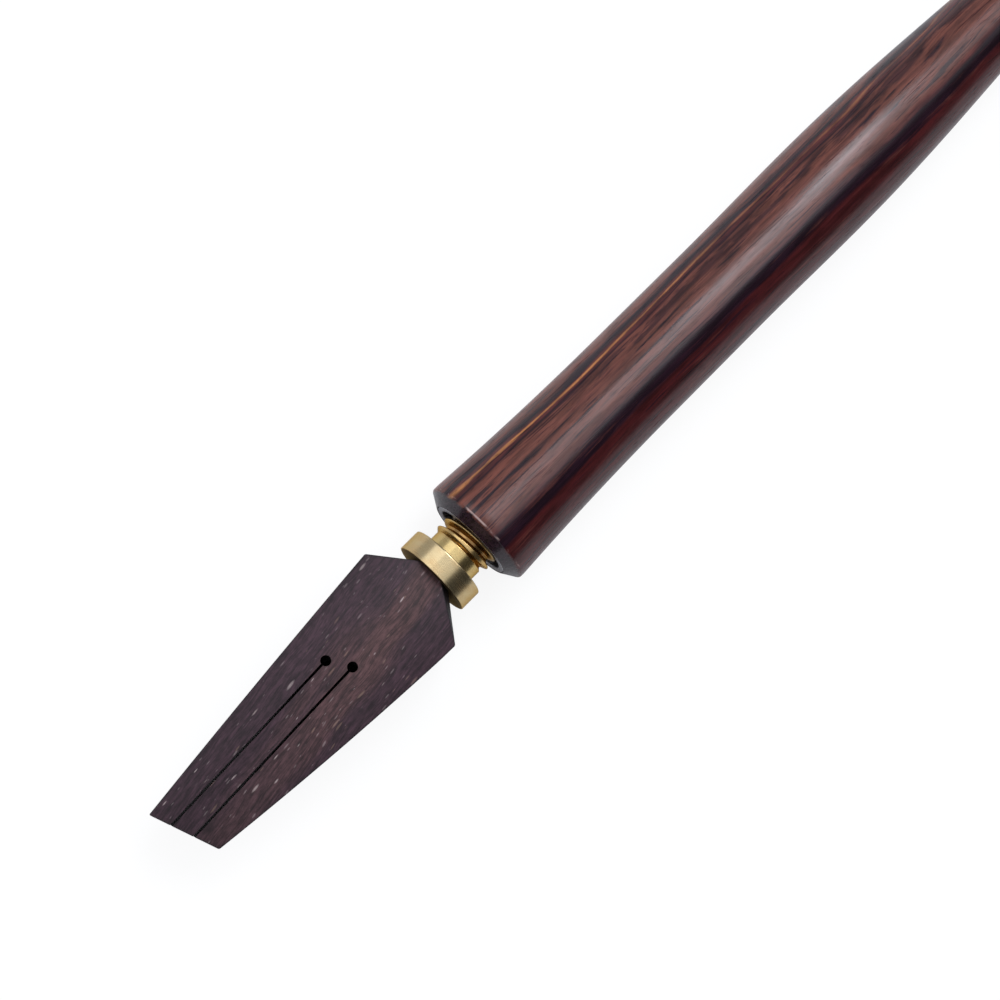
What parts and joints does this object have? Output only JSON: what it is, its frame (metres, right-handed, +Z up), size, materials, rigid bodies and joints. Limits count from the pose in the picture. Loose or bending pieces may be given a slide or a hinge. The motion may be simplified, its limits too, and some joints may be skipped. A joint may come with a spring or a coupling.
{
  "type": "calligraphy pen",
  "caption": "Turned wooden calligraphy pen with a flat, slit, slant-cut wooden nib that screws into the handle on a brass fitting.",
  "frame": {"origin": "on the surface the pen lies on, under the middle of its length", "axes": "+X along the pen from the nib to the tail, +Z up out of the nib's flat face"},
  "size_m": [0.1674, 0.0116, 0.0115],
  "materials": {
    "handle_wood": "satin lacquered rosewood",
    "insert_metal": "turned steel",
    "brass": "fine turned brass",
    "nib_wood": "matte dark close-grained wood"
  },
  "bodies": {
    "handle": {"handle": "handle_wood", "threaded_insert": "insert_metal"},
    "screw_carrier": {"tang_pin": "brass"},
    "nib_unit": {"screw_ferrule": "brass", "nib_blade": "nib_wood"}
  },
  "joints": [
    {"name": "nib_advance", "type": "slide", "parent": "handle", "child": "screw_carrier", "axis": [-1, 0, 0], "range_m": [-0.0029, 0.0055]},
    {"name": "nib_turn", "type": "hinge", "parent": "screw_carrier", "child": "nib_unit", "pos_m": [-0.05078, 0, 0.00575], "axis": [-1, 0, 0], "range_deg": [-1044.2, 1980.2]}
  ],
  "couplings": [
    {"joint": "nib_turn", "follows": "nib_advance", "rad_per_m": 6283.2}
  ]
}
